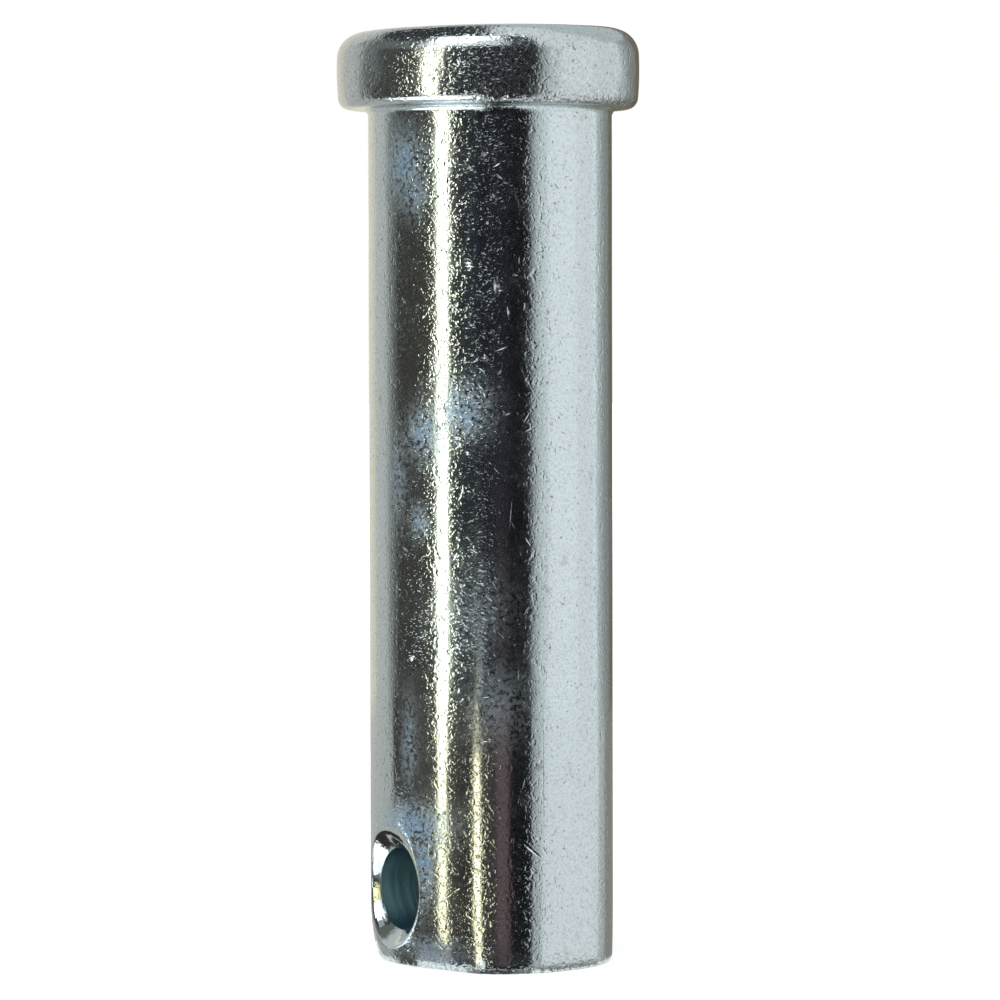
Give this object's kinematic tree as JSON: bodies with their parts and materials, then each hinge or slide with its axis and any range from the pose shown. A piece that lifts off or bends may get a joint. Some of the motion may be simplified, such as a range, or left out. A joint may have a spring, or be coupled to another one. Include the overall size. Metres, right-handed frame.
{
  "type": "clevis pin",
  "caption": "A plain cylindrical pin with a low round-edged head at its top and a countersunk cross hole near its plain end",
  "frame": {"origin": "centre of the plain end face, on the pin's own axis; the pin stands on that face", "axes": "+Z runs along the pin's axis from the plain end to the head, X runs along the cross hole, and Y completes the right-handed frame"},
  "size_m": [0.0156, 0.0156, 0.0482],
  "materials": {
    "plated_steel": "bright zinc plated steel, smooth with small nicks from handling"
  },
  "bodies": {
    "root": {"clevis_pin": "plated_steel"}
  },
  "joints": []
}
